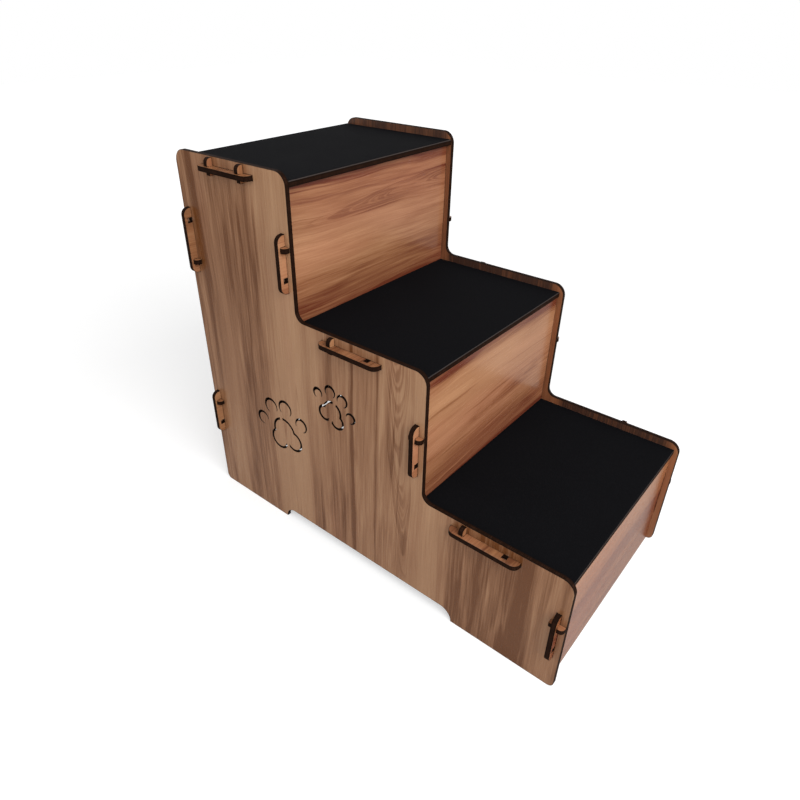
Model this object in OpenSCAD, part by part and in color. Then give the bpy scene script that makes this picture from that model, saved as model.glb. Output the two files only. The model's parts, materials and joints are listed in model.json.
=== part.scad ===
// Pet stairs: three steps of flat boards that slot together without glue.
// Two stepped side panels carry the treads, the risers and two back boards.
// Each of these boards has a tab that passes through each side panel, and a small
// peg through a hole in the tab, just outside the panel, locks it there.
// All sizes are in millimetres. The origin is on the floor under the middle of
// the stairs, +X runs forward and down the steps, and +Z is up.
// Left and right are those of somebody who climbs the stairs.

/* [Steps] */
// Depth of one step
step_depth = 200; // [170:5:260]
// Height of one step
rise = 175; // [150:5:220]
// Width over the outer faces of the two side panels
width = 320; // [260:10:450]
// Thickness of every board and peg
board_t = 6; // [5:0.5:8]

/* [Side panels] */
// Radius of the outer corners along the steps
step_r = 16; // [8:1:22]
// Radius in the inner corner of each step
inner_r = 13; // [6:1:20]
// Radius of the lower corners
foot_r = 8; // [4:1:14]
// Length of each foot, beside the arch
foot_l = 146; // [110:2:180]
// Height of the arch, whose ends are quarter circles
arch_h = 18; // [12:1:26]
// Gap around a tab in its slot
slot_gap = 0.1; // [0.05:0.05:0.3]

/* [Treads and mats] */
// Drop from the top edge of a side panel to the mat
mat_drop = 9.5; // [6:0.5:14]
// Thickness of the mats
mat_t = 1.5; // [1:0.5:3]
// Gap between a mat and each side panel
mat_gap = 0.8; // [0.4:0.2:3]
// How far the lower and middle treads stand out from their risers
nosing = 2; // [0:0.5:6]
// How far the upper tread stands out from its riser
upper_nosing = 7; // [1:0.5:8]
// How far the upper tread ends before the rear edge of the side panels
upper_tread_inset = 1; // [0:0.5:4]

/* [Risers and back boards] */
// How far the risers stand behind the front edges of the side panels
riser_setback = 8; // [8:1:16]
// How far the back boards stand in from the rear edges of the side panels
back_setback = 8; // [6:1:16]
// Height of the upper back board
back_upper_h = 200; // [150:5:240]
// Height of the lower back board above the floor
back_lower_z = 59; // [35:1:90]

/* [Tabs] */
// Length of the treads' tabs
tread_tab_l = 93; // [76:1:110]
// Length of the tabs of the risers and of the lower back board
riser_tab_l = 72; // [58:1:90]
// Length of the upper back board's tabs
back_tab_l = 87; // [75:1:110]
// Wood left outside each peg hole
tab_land = 4.8; // [3.8:0.5:9.8]
// Radius of the tabs' outer corners
tab_r = 9; // [3:1:10]
// Distance between the two peg holes of a tread's tab
tread_hole_pitch = 56; // [40:1:66]
// Distance between the two peg holes of a riser's tab
riser_hole_pitch = 38; // [24:1:48]
// Distance between the two peg holes of the upper back board's tab
back_hole_pitch = 55; // [36:1:62]
// How far each peg hole reaches into the side panel, so that the peg draws the joint tight
hole_draw = 0.5; // [0.2:0.1:1.5]

/* [Pegs] */
// Width of a peg's stem, outwards from the side panel
stem_w = 6; // [4.5:0.5:8]
// Width of a peg's head, outwards from the side panel
head_w = 8.5; // [8:0.5:12]
// Length of the head of a peg that stands in a tread's tab
tread_head_l = 10; // [8:0.5:14]
// Length of the head of a peg that lies in the tab of a riser or a back board
riser_head_l = 8; // [7.5:0.5:12]
// How far the tip of a peg comes out behind the tab
tip_l = 5; // [3:0.5:8]
// Radius of the head's outer end
head_r = 5.5; // [2:0.5:6]
// Radius of the head's other corners
lip_r = 1.4; // [0.6:0.2:2]
// Radius of the corners of the tip
tip_r = 1; // [0.4:0.2:2]
// Gap around a peg in its hole and beside the side panel
peg_gap = 0.1; // [0.05:0.05:0.3]

/* [Paw cut-outs] */
// Width of the large paw
large_paw_w = 104; // [70:2:110]
// Width of the small paw
small_paw_w = 74; // [50:2:80]
// Width of the line that is cut around a paw's pad
line_w = 2.8; // [1.8:0.2:4]
// Width of the two bridges that hold the pad in the panel
bridge_w = 6; // [4:0.5:9]
// How far the curved line around a toe stays open, to hold the toe in the panel
toe_gap = 0.5; // [0.2:0.1:1]

/* [Hidden] */
$fn = 64;
// A cut's overrun past the surface that it opens
overrun = 1;
// Number of steps, and the number of the upper one, counted from 0 at the floor
steps = 3;
top = steps - 1;
length = steps * step_depth;
height = steps * rise;
inner_w = width - 2 * board_t;
tab_out = stem_w + 2 * peg_gap + tab_land;
hole_w = board_t + 2 * peg_gap;

// Height of each riser's tab, and of the lower and the upper back board's, on its board
riser_tab_shares = [0.55, 0.482, 0.48];
back_tab_shares = [0.475, 0.512];
// Places of the paws on the side panel, along its length and up its height
large_paw_shares = [0.265, 0.31];
small_paw_shares = [0.425, 0.455];
large_paw_tilt = 14;
small_paw_tilt = -16;
// The pad's three lobes and the four toes of a paw: place across, place up and radius,
// each over the paw's width
pad_shares = [[0, 0.03, 0.21], [-0.145, -0.1, 0.155], [0.145, -0.1, 0.155]];
toe_shares = [[-0.395, 0.19, 0.105], [-0.145, 0.4, 0.12], [0.145, 0.4, 0.12], [0.395, 0.19, 0.105]];
// How far each toe leans
toe_lean = [36, 12, -12, -36];

wood = "#8f6f58";
riser_wood = "#b0785a";
peg_wood = "#c08d6a";
mat_black = "#1d2022";

// Front edge of the side panels at step i
function front_x(i) = length / 2 - i * step_depth;
// Front face of riser i
function riser_x(i) = front_x(i) - riser_setback;
// Top face of tread i, under its mat
function tread_z(i) = (i + 1) * rise - mat_drop - mat_t;
// Lower edge and height of riser i, which stands on the tread below it or on the floor
function riser_z(i) = i == 0 ? 0 : tread_z(i - 1);
function riser_h(i) = tread_z(i) - board_t - riser_z(i);
// Front and rear edges of tread i, which reaches under the next riser
function tread_front(i) = riser_x(i) + (i == top ? upper_nosing : nosing);
function tread_rear(i) = i == top ? upper_tread_inset - length / 2 : riser_x(i + 1) - board_t;
function tread_depth(i) = tread_front(i) - tread_rear(i);

// Front face of the back boards, and the lower edge and height of each, the lower one first
back_x = back_setback + board_t - length / 2;
back_h = [riser_h(1), back_upper_h];
back_z = [back_lower_z, tread_z(top) - board_t - back_upper_h];

// One row for each board with tabs: name, whether its pegs stand upright, the X and Z
// of the point between its two peg holes, the distance between them, and its tabs' length
BOARDS = [
    for (i = [0:top])
        [str("tread_", step_name(i)), true, tread_rear(i) + tread_depth(i) / 2, tread_z(i),
            tread_hole_pitch, tread_tab_l],
    for (i = [0:top])
        [str("riser_", step_name(i)), false, riser_x(i), riser_z(i) + riser_h(i) * riser_tab_shares[i],
            riser_hole_pitch, riser_tab_l],
    ["back_lower", false, back_x, back_z[0] + back_h[0] * back_tab_shares[0],
        riser_hole_pitch, riser_tab_l],
    ["back_upper", false, back_x, back_z[1] + back_h[1] * back_tab_shares[1],
        back_hole_pitch, back_tab_l]
];
function step_name(i) = ["lower", "middle", "upper"][i];

// One row for each peg: side, board, and hole. Holes are rear and front, or low and high.
left = -1;
right = 1;
rear = -1;
front = 1;
low = -1;
high = 1;
PEGS = [
    [left, "tread_lower", rear],
    [left, "tread_middle", rear],
    [left, "tread_upper", rear],
    [left, "tread_upper", front],
    [left, "riser_lower", high],
    [left, "riser_middle", high],
    [left, "riser_upper", high],
    [left, "back_lower", high],
    [left, "back_upper", low],
    [right, "tread_lower", front],
    [right, "tread_middle", rear],
    [right, "tread_upper", rear],
    [right, "tread_upper", front],
    [right, "riser_lower", high],
    [right, "riser_middle", high],
    [right, "riser_upper", low],
    [right, "back_lower", high],
    [right, "back_upper", low]
];
function board_row(name) = BOARDS[search([name], BOARDS)[0]];
function side_name(p) = p[0] == left ? "left" : "right";
function hole_name(p) = board_row(p[1])[1]
    ? (p[2] == rear ? "rear" : "front")
    : (p[2] == low ? "low" : "high");
function peg_name(p) = str("peg_", side_name(p), "_", p[1], "_", hole_name(p));

// What a round of radius r leaves of a square corner at the origin
module corner(r) {
    difference() {
        translate([-overrun, -overrun])
            square(r + overrun);
        translate([r, r])
            circle(r);
    }
}

// A rectangle from the origin with its own radius at each corner, in the order
// near the origin, along X, opposite, along Y. A radius of 0 leaves a corner square.
module rounded(size, radii) {
    difference() {
        square(size);
        if (radii[0] > 0)
            corner(radii[0]);
        if (radii[1] > 0)
            translate([size[0], 0])
                rotate(90)
                    corner(radii[1]);
        if (radii[2] > 0)
            translate(size)
                rotate(180)
                    corner(radii[2]);
        if (radii[3] > 0)
            translate([0, size[1]])
                rotate(270)
                    corner(radii[3]);
    }
}

// The stepped outline with its rounded corners and the arch between the feet
module panel_outline() {
    difference() {
        union() {
            for (i = [0:top])
                translate([-length / 2, 0])
                    rounded([front_x(i) + length / 2, (i + 1) * rise],
                        [foot_r, i == 0 ? foot_r : 0, step_r, i == top ? step_r : 0]);
            for (i = [1:top])
                translate([front_x(i), i * rise])
                    corner(inner_r);
        }
        translate([foot_l - length / 2, -arch_h])
            rounded([length - 2 * foot_l, 2 * arch_h], [0, 0, arch_h, arch_h]);
    }
}

// The slots that the tabs pass through
module slots() {
    for (b = BOARDS) {
        size = b[1] ? [b[5], board_t] : [board_t, b[5]];
        middle = b[1] ? [b[2], b[3] - board_t / 2] : [b[2] - board_t / 2, b[3]];
        translate(middle)
            square([for (s = size) s + 2 * slot_gap], center = true);
    }
}

// A line around joined discs: the same discs, less in radius by shrink and lower by drop,
// are left standing. With more drop than shrink, the line tapers to an opening below.
module line_around(discs, shrink, drop) {
    difference() {
        for (d = discs)
            translate([d[0], d[1]])
                circle(d[2]);
        for (d = discs)
            translate([d[0], d[1] - drop])
                circle(d[2] - shrink);
    }
}

module paw(paw_w) {
    difference() {
        line_around(pad_shares * paw_w, line_w, 0);
        square([bridge_w, paw_w], center = true);
    }
    for (i = [0:len(toe_shares) - 1])
        translate([toe_shares[i][0], toe_shares[i][1]] * paw_w)
            rotate(toe_lean[i])
                line_around([[0, 0, toe_shares[i][2] * paw_w]], line_w / 2, line_w / 2 + toe_gap);
}

module side_panel() {
    rotate([90, 0, 0])
        linear_extrude(board_t)
            difference() {
                panel_outline();
                slots();
                translate([length * (large_paw_shares[0] - 1 / 2), height * large_paw_shares[1]])
                    rotate(large_paw_tilt)
                        paw(large_paw_w);
                translate([length * (small_paw_shares[0] - 1 / 2), height * small_paw_shares[1]])
                    rotate(small_paw_tilt)
                        paw(small_paw_w);
            }
}

// One end's tab with its two peg holes, along X with its root at Y = 0
module tab(tab_l, pitch) {
    reach = board_t + tab_out;
    difference() {
        translate([-tab_l / 2, -overrun])
            rounded([tab_l, reach + overrun], [0, 0, tab_r, tab_r]);
        for (s = [-1, 1])
            translate([s * pitch / 2 - hole_w / 2, board_t - hole_draw])
                square([hole_w, hole_draw + stem_w + 2 * peg_gap]);
    }
}

// A flat board across the stairs: its depth runs along X from 0, its tabs stand out along Y
module board(depth, tab_middle, tab_l, pitch) {
    linear_extrude(board_t)
        union() {
            translate([0, -inner_w / 2])
                square([depth, inner_w]);
            for (s = [left, right])
                translate([tab_middle, s * inner_w / 2])
                    mirror([0, s == left ? 1 : 0])
                        tab(tab_l, pitch);
        }
}

module tread(i) {
    row = board_row(str("tread_", step_name(i)));
    translate([tread_rear(i), 0, tread_z(i) - board_t])
        board(tread_depth(i), row[2] - tread_rear(i), row[5], row[4]);
}

// The mat covers the tread's top face from the riser behind it to the front edge
module mat(i) {
    rear_x = i == top ? tread_rear(i) : riser_x(i + 1);
    mat_w = inner_w - 2 * mat_gap;
    translate([rear_x, -mat_w / 2, tread_z(i)])
        cube([tread_front(i) - rear_x, mat_w, mat_t]);
}

// A board that stands across the stairs, with its front face at x and its lower edge at z
module upright(row, z, h) {
    translate([row[2], 0, z])
        rotate([0, -90, 0])
            board(h, row[3] - z, row[5], row[4]);
}

// A peg on the left side: the stem points down, the shoulder is at Z = 0 and the flat
// back lies along the side panel's outer face at Y = 0
module peg(head_l) {
    stem_l = board_t + tip_l;
    outer_r = min(head_r, head_l - lip_r);
    translate([-board_t / 2, 0, 0])
        rotate([90, 0, 90])
            linear_extrude(board_t)
                union() {
                    translate([-head_w, 0])
                        rounded([head_w - peg_gap, head_l], [lip_r, 0, lip_r, outer_r]);
                    translate([-stem_w - peg_gap, -stem_l])
                        rounded([stem_w, stem_l + lip_r], [tip_r, tip_r, 0, 0]);
                }
}

module peg_in_place(p) {
    row = board_row(p[1]);
    upright_peg = row[1];
    offset = (upright_peg ? [1, 0, 0] : [0, 0, 1]) * p[2] * row[4] / 2;
    translate([row[2], p[0] * width / 2, row[3]] + offset)
        rotate([0, upright_peg ? 0 : 90, 0])
            mirror([0, p[0] == right ? 1 : 0, 0])
                peg(upright_peg ? tread_head_l : riser_head_l);
}

color(wood)  // side_panel_left
        translate([0, board_t - width / 2, 0])
            side_panel();
color(wood)  // side_panel_right
        translate([0, width / 2, 0])
            side_panel();
for (i = [0:top]) {
    color(wood)
            tread(i);
    color(mat_black)
            mat(i);
    color(riser_wood)
            upright(board_row(str("riser_", step_name(i))), riser_z(i), riser_h(i));
}
color(riser_wood)  // back_lower
        upright(board_row("back_lower"), back_z[0], back_h[0]);
color(riser_wood)  // back_upper
        upright(board_row("back_upper"), back_z[1], back_h[1]);
for (p = PEGS)
    color(peg_wood)
            peg_in_place(p);
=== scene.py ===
"""The looks of a set of pet stairs: laminated boards with laser-burnt edges, their
pegs, the black mats, and a white studio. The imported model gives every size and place."""

import json
import math

import bpy
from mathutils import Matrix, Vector


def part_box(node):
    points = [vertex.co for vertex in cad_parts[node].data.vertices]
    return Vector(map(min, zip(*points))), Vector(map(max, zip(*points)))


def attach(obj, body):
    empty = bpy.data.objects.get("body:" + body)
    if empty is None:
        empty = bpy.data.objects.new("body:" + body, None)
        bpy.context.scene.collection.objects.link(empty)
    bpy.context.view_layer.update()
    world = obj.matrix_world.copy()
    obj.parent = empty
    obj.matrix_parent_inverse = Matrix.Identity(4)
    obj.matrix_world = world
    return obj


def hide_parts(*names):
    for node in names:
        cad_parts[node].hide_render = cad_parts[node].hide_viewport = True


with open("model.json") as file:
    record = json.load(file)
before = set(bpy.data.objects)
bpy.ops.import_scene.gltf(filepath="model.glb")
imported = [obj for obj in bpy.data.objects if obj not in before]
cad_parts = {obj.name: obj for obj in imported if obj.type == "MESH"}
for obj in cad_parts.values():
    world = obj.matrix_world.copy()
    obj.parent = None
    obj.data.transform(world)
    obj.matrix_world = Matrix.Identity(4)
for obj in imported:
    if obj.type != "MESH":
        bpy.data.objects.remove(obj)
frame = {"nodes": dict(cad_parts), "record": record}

bl_info = {
    "name": "Pet Stairs",
    "version": (1, 0, 0),
    "blender": (4, 5, 0),
    "location": "3D Viewport > Sidebar > Stairs",
    "description": "Laminated boards, pegs, mats and studio of a set of pet stairs",
    "category": "Object",
}

X, Y, Z = Vector((1, 0, 0)), Vector((0, 1, 0)), Vector((0, 0, 1))
MM = 0.001
STAIRS = "stairs"
TREADS = ("tread_lower", "tread_middle", "tread_upper")
MATS = ("mat_lower", "mat_middle", "mat_upper")
RISERS = ("riser_lower", "riser_middle", "riser_upper")
BACKS = ("back_lower", "back_upper")
PEGS = tuple(sorted(n for n in frame["nodes"] if n.startswith("peg_")))

# Attributes that the finished pieces carry into their materials
SHEET = "sheet"
SCORCH = "scorch"
CUT = "cut"

# Points nearer than this are one, and an edge sharper than its crease stays sharp
MERGE_WITHIN = 0.01 * MM
BOARD_CREASE = math.radians(28)
MAT_CREASE = math.radians(50)
# A face is on a board's front if its normal's share in the through direction is larger
FRONT_SHARE = 0.7
# The rim's mean step inwards is no shorter than this, squared, not even at a sharp tip
TIP_STEP_SQUARED = 0.4
# The rings of a mat's round edge: how far out and down from the one before, in radii
MAT_RINGS = ((0.7, 0.3), (0.3, 0.7))


class StairsFinish(bpy.types.PropertyGroup):
    """Sizes and colours of the stairs' finish."""

    light_wood: bpy.props.FloatVectorProperty(
        name="Light Wood", description="Palest tone of the printed wood",
        subtype="COLOR", size=3, min=0, max=1, default=(0.445, 0.215, 0.115))
    middle_wood: bpy.props.FloatVectorProperty(
        name="Middle Wood", description="Tone of the print's broad bands",
        subtype="COLOR", size=3, min=0, max=1, default=(0.285, 0.115, 0.055))
    dark_wood: bpy.props.FloatVectorProperty(
        name="Dark Wood", description="Tone of the print's thin streaks",
        subtype="COLOR", size=3, min=0, max=1, default=(0.13, 0.042, 0.019))
    char: bpy.props.FloatVectorProperty(
        name="Char", description="Tone of the edges that the laser has burnt",
        subtype="COLOR", size=3, min=0, max=1, default=(0.0085, 0.0036, 0.0020))
    core: bpy.props.FloatVectorProperty(
        name="Core", description="Tone of the board's core where the burn is thin",
        subtype="COLOR", size=3, min=0, max=1, default=(0.032, 0.0135, 0.008))
    rubber: bpy.props.FloatVectorProperty(
        name="Rubber", description="Tone of the mats",
        subtype="COLOR", size=3, min=0, max=1, default=(0.0044, 0.0044, 0.0052))
    # The mats' cut edges are lighter than the rubber: partly the cut's own paler tone, partly
    # a painted highlight along the rounded upper edge.
    cut_rubber_and_highlight: bpy.props.FloatVectorProperty(
        name="Cut Rubber", description="Tone of the mats' cut edges, lightened as a painted highlight",
        subtype="COLOR", size=3, min=0, max=1, default=(0.036, 0.027, 0.024))
    scorch_w: bpy.props.FloatProperty(
        name="Scorch Width", description="How far the burn spreads over a board's faces",
        subtype="DISTANCE", unit="LENGTH", min=0.0001, max=0.002, default=0.0006)
    arris: bpy.props.FloatProperty(
        name="Arris", description="Width of the broken corner along every cut edge",
        subtype="DISTANCE", unit="LENGTH", min=0.00005, max=0.0005, default=0.00015)
    mat_round: bpy.props.FloatProperty(
        name="Mat Edge Radius", description="Radius of the mats' upper edges",
        subtype="DISTANCE", unit="LENGTH", min=0.0001, max=0.0007, default=0.0005)
    gloss: bpy.props.FloatProperty(
        name="Laminate Roughness", description="Roughness of the laminate's clear surface",
        subtype="FACTOR", min=0, max=1, default=0.24)


class StudioSettings(bpy.types.PropertyGroup):
    """Camera, lamps and floor."""

    camera_place: bpy.props.FloatVectorProperty(
        name="Camera Place", description="Where the camera stands",
        subtype="TRANSLATION", unit="LENGTH", size=3, default=(0.43224, -0.62703, 0.68746))
    camera_turn: bpy.props.FloatVectorProperty(
        name="Camera Turn", description="The camera's rotation",
        subtype="EULER", unit="ROTATION", size=3,
        default=tuple(math.radians(a) for a in (57.4157, -0.2663, 39.8762)))
    lens: bpy.props.FloatProperty(
        name="Lens", description="Focal length in millimetres, on a sensor of 36",
        min=10, max=200, default=28.485)
    shift: bpy.props.FloatVectorProperty(
        name="Shift", description="The picture's offset across and upwards", size=2,
        min=-0.2, max=0.2, default=(0.0169, -0.0029))
    floor_size: bpy.props.FloatProperty(
        name="Floor Size", description="Side of the square floor", unit="LENGTH", min=2,
        max=40, default=12)
    key_power: bpy.props.FloatProperty(
        name="Key Lamp", description="Power of the lamp in front of the steps", unit="POWER",
        min=0, max=500, default=44)
    fill_power: bpy.props.FloatProperty(
        name="Fill Lamp", description="Power of the lamp beside the left panel",
        unit="POWER", min=0, max=500, default=10)
    sky: bpy.props.FloatProperty(
        name="Sky", description="Strength of the even light from all round", min=0, max=2,
        default=0.5)


def find_socket(sockets, key):
    """The socket with that identifier, or else the first of that name."""
    for socket in sockets:
        if socket.identifier == key:
            return socket
    return sockets[key]


def feed(tree, socket, value):
    """Gives a socket a value, or the link to a socket or to a node's first output."""
    if isinstance(value, bpy.types.Node):
        value = value.outputs[0]
    if isinstance(value, bpy.types.NodeSocket):
        tree.links.new(value, socket)
    elif socket.type == "RGBA" and len(value) == 3:
        socket.default_value = (*value, 1.0)
    else:
        socket.default_value = value


def feed_all(tree, node, inputs):
    """Gives the inputs their values or links, by name or number."""
    for key, value in inputs.items():
        socket = find_socket(node.inputs, key) if isinstance(key, str) else node.inputs[key]
        feed(tree, socket, value)


def add_node(tree, kind, inputs=None, **settings):
    """A new node with its settings and what its inputs are fed."""
    made = tree.nodes.new(kind)
    for name, value in settings.items():
        setattr(made, name, value)
    feed_all(tree, made, inputs or {})
    return made


def math_node(tree, operation, *values, clamp=False):
    return add_node(tree, "ShaderNodeMath", dict(enumerate(values)),
                    operation=operation, use_clamp=clamp).outputs[0]


def plus(tree, first, second):
    return math_node(tree, "ADD", first, second)


def minus(tree, first, second):
    return math_node(tree, "SUBTRACT", first, second)


def times(tree, first, second, clamp=False):
    return math_node(tree, "MULTIPLY", first, second, clamp=clamp)


def times_plus(tree, first, second, third, clamp=False):
    return math_node(tree, "MULTIPLY_ADD", first, second, third, clamp=clamp)


def more_than(tree, value, limit):
    return add_node(tree, "FunctionNodeCompare", {"A": value, "B": limit},
                    data_type="FLOAT", operation="GREATER_THAN").outputs[0]


def vector_node(tree, operation, *values):
    made = add_node(tree, "ShaderNodeVectorMath", dict(enumerate(values)), operation=operation)
    scalar = operation in ("DOT_PRODUCT", "LENGTH")
    return made.outputs["Value" if scalar else "Vector"]


def dot(tree, first, second):
    return vector_node(tree, "DOT_PRODUCT", first, second)


def moved(tree, place, step):
    return vector_node(tree, "ADD", place, step)


def scaled(tree, vector, amount):
    return add_node(tree, "ShaderNodeVectorMath", {0: vector, "Scale": amount},
                    operation="SCALE").outputs["Vector"]


def vector_of(tree, x=0.0, y=0.0, z=0.0):
    return add_node(tree, "ShaderNodeCombineXYZ", {"X": x, "Y": y, "Z": z}).outputs[0]


def parts(tree, vector):
    """The three numbers of a vector, by the names X, Y and Z."""
    return add_node(tree, "ShaderNodeSeparateXYZ", {"Vector": vector}).outputs


def new_tree(kind, name, sockets_in, sockets_out):
    """A node tree with named sockets. Each is (name, kind) or (name, kind, default)."""
    tree = bpy.data.node_groups.new(name, kind)
    for direction, sockets in (("INPUT", sockets_in), ("OUTPUT", sockets_out)):
        for label, socket_kind, *default in sockets:
            made = tree.interface.new_socket(
                name=label, in_out=direction, socket_type="NodeSocket" + socket_kind)
            if default:
                made.default_value = default[0]
    return tree, tree.nodes.new("NodeGroupInput").outputs, tree.nodes.new("NodeGroupOutput")


def shared(kind, name, make):
    """What was made before under that name, or else what make returns."""
    return kind.get(name) or make()


# Geometry Nodes: a laser-cut board, and a mat


def edge_of_sheet(tree):
    """True on the edges that have a face on one side only."""
    count = add_node(tree, "GeometryNodeInputMeshEdgeNeighbors")
    return add_node(tree, "FunctionNodeCompare", {"A_INT": count, "B_INT": 1},
                    data_type="INT", operation="EQUAL").outputs[0]


def inward_at_rim(tree, through):
    """At each point of the rim, the step inwards that moves both its edges by 1."""
    ends = add_node(tree, "GeometryNodeInputMeshEdgeVertices").outputs
    first, second = ends["Position 1"], ends["Position 2"]
    run = vector_node(tree, "SUBTRACT", second, first)
    middle = scaled(tree, moved(tree, first, second), 0.5)
    square_on = vector_node(tree, "NORMALIZE",
                            vector_node(tree, "CROSS_PRODUCT", through, run))
    corner = add_node(tree, "GeometryNodeCornersOfEdge")
    face = add_node(tree, "GeometryNodeFaceOfCorner", {"Corner Index": corner})
    centre = add_node(tree, "GeometryNodeFieldAtIndex",
                      {"Value": add_node(tree, "GeometryNodeInputPosition"), "Index": face},
                      data_type="FLOAT_VECTOR", domain="FACE").outputs[0]
    to_face = vector_node(tree, "SUBTRACT", centre, middle)
    side = math_node(tree, "SIGN", dot(tree, square_on, to_face))
    inward = scaled(tree, square_on, times(tree, side, edge_of_sheet(tree)))
    on_edges = add_node(tree, "GeometryNodeFieldOnDomain", {"Value": inward},
                        data_type="FLOAT_VECTOR", domain="EDGE").outputs[0]
    # A point takes the mean over all its edges, of which two lie on the rim
    edges = add_node(tree, "GeometryNodeInputMeshVertexNeighbors").outputs["Vertex Count"]
    mean = scaled(tree, on_edges, times(tree, edges, 0.5))
    # Full at a blunt corner, and held back where the rim comes to a sharp tip
    square = math_node(tree, "MAXIMUM", dot(tree, mean, mean), TIP_STEP_SQUARED)
    return scaled(tree, mean, math_node(tree, "DIVIDE", 1.0, square))


def new_ring(tree, mesh, place):
    """Draws the rim of a mesh out to a new ring of points.

    Returns the mesh, which points are new and which faces are."""
    drawn = add_node(tree, "GeometryNodeExtrudeMesh",
                     {"Mesh": mesh, "Selection": edge_of_sheet(tree), "Offset Scale": 0.0},
                     mode="EDGES").outputs
    ringed = add_node(tree, "GeometryNodeSetPosition", {
        "Geometry": drawn["Mesh"], "Selection": drawn["Top"], "Position": place})
    return ringed.outputs[0], drawn["Top"], drawn["Side"]


def store(tree, geometry, name, value, selection=True, kind="FLOAT", domain="POINT"):
    return add_node(tree, "GeometryNodeStoreNamedAttribute",
                    {"Geometry": geometry, "Name": name, "Value": value,
                     "Selection": selection},
                    data_type=kind, domain=domain).outputs[0]


def mark_cut(tree, geometry, faces):
    """Marks the faces that the laser or the knife has cut."""
    return store(tree, geometry, CUT, True, faces, kind="BOOLEAN", domain="FACE")


def merged(tree, *meshes):
    """The meshes as one, without double points."""
    joined = tree.nodes.new("GeometryNodeJoinGeometry")
    for mesh in meshes:
        tree.links.new(mesh, joined.inputs[0])
    return add_node(tree, "GeometryNodeMergeByDistance",
                    {"Geometry": joined, "Distance": MERGE_WITHIN}).outputs[0]


def smooth_curves(tree, geometry, crease):
    """Smooth shading, with a sharp edge wherever two faces meet at more than the crease."""
    smooth = add_node(tree, "GeometryNodeSetShadeSmooth",
                      {"Geometry": geometry, "Shade Smooth": True}, domain="FACE")
    angle = add_node(tree, "GeometryNodeInputMeshEdgeAngle").outputs["Unsigned Angle"]
    return add_node(tree, "GeometryNodeSetShadeSmooth",
                    {"Geometry": smooth, "Selection": more_than(tree, angle, crease),
                     "Shade Smooth": False}, domain="EDGE").outputs[0]


def dress(tree, result, geometry, on_faces, on_cuts):
    """Ends a tree: a real mesh, with one material on its faces and one on its cuts."""
    real = add_node(tree, "GeometryNodeRealizeInstances", {"Geometry": geometry})
    faced = add_node(tree, "GeometryNodeSetMaterial",
                     {"Geometry": real, "Material": on_faces})
    is_cut = add_node(tree, "GeometryNodeInputNamedAttribute", {"Name": CUT},
                      data_type="BOOLEAN")
    edged = add_node(tree, "GeometryNodeSetMaterial",
                     {"Geometry": faced, "Selection": is_cut, "Material": on_cuts})
    tree.links.new(edged.outputs[0], result.inputs[0])


def make_board_tree():
    """From the plain solid of a flat board: a band along every cut edge that takes the
    scorch, a broken corner, and a wall of burnt core, with the sheet's own coordinates."""
    tree, given, result = new_tree(
        "GeometryNodeTree", "laser_cut_board",
        (("Geometry", "Geometry"), ("Across", "Vector"), ("Along", "Vector"),
         ("Through", "Vector"), ("Middle", "Float"), ("Thickness", "Float", 0.006),
         ("Scorch Width", "Float", 0.0006), ("Arris", "Float", 0.00015),
         ("Print Offset", "Vector"), ("Laminate", "Material"), ("Burnt Edge", "Material")),
        (("Geometry", "Geometry"),))
    through, arris = given["Through"], given["Arris"]
    position = add_node(tree, "GeometryNodeInputPosition").outputs[0]
    normal = add_node(tree, "GeometryNodeInputNormal").outputs[0]
    facing = more_than(tree, dot(tree, normal, through), FRONT_SHARE)
    front = add_node(tree, "GeometryNodeSeparateGeometry",
                     {"Geometry": merged(tree, given["Geometry"]), "Selection": facing},
                     domain="FACE")
    kept = tree.nodes.new("GeometryNodeCaptureAttribute")
    kept.domain = "POINT"
    captured = {"Rim": position, "Inward": inward_at_rim(tree, through)}
    for label in captured:
        kept.capture_items.new("VECTOR", label)
    feed_all(tree, kept, {"Geometry": front, **captured})
    rim, inward = kept.outputs["Rim"], kept.outputs["Inward"]

    # The skin is drawn in, then the band and the broken corner go back out to the outline
    band = plus(tree, given["Scorch Width"], arris)
    skin = add_node(tree, "GeometryNodeSetPosition",
                    {"Geometry": kept, "Offset": scaled(tree, inward, band)})
    at_arris = moved(tree, rim, scaled(tree, inward, arris))
    cap, top, _ = new_ring(tree, skin, at_arris)
    cap = store(tree, cap, SCORCH, top)
    below = vector_node(tree, "SUBTRACT", rim, scaled(tree, through, arris))
    cap, _, broken = new_ring(tree, cap, below)
    cap = mark_cut(tree, cap, broken)

    # The wall and the back, which is the front turned over about the board's middle
    depth = minus(tree, times(tree, arris, 2.0), given["Thickness"])
    wall = add_node(tree, "GeometryNodeExtrudeMesh",
                    {"Mesh": cap, "Selection": edge_of_sheet(tree),
                     "Offset": scaled(tree, through, depth), "Offset Scale": 1.0},
                    mode="EDGES").outputs
    height = minus(tree, dot(tree, position, through), given["Middle"])
    turned = add_node(tree, "GeometryNodeSetPosition", {
        "Geometry": cap, "Offset": scaled(tree, through, times(tree, height, -2.0))})
    back = add_node(tree, "GeometryNodeFlipFaces", {"Mesh": turned}).outputs[0]
    closed = merged(tree, back, mark_cut(tree, wall["Mesh"], wall["Side"]))
    sheet = vector_of(tree, dot(tree, position, given["Across"]),
                      dot(tree, position, given["Along"]), height)
    placed = store(tree, closed, SHEET, moved(tree, sheet, given["Print Offset"]),
                   kind="FLOAT_VECTOR")
    dress(tree, result, smooth_curves(tree, placed, BOARD_CREASE), given["Laminate"],
          given["Burnt Edge"])
    return tree


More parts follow.
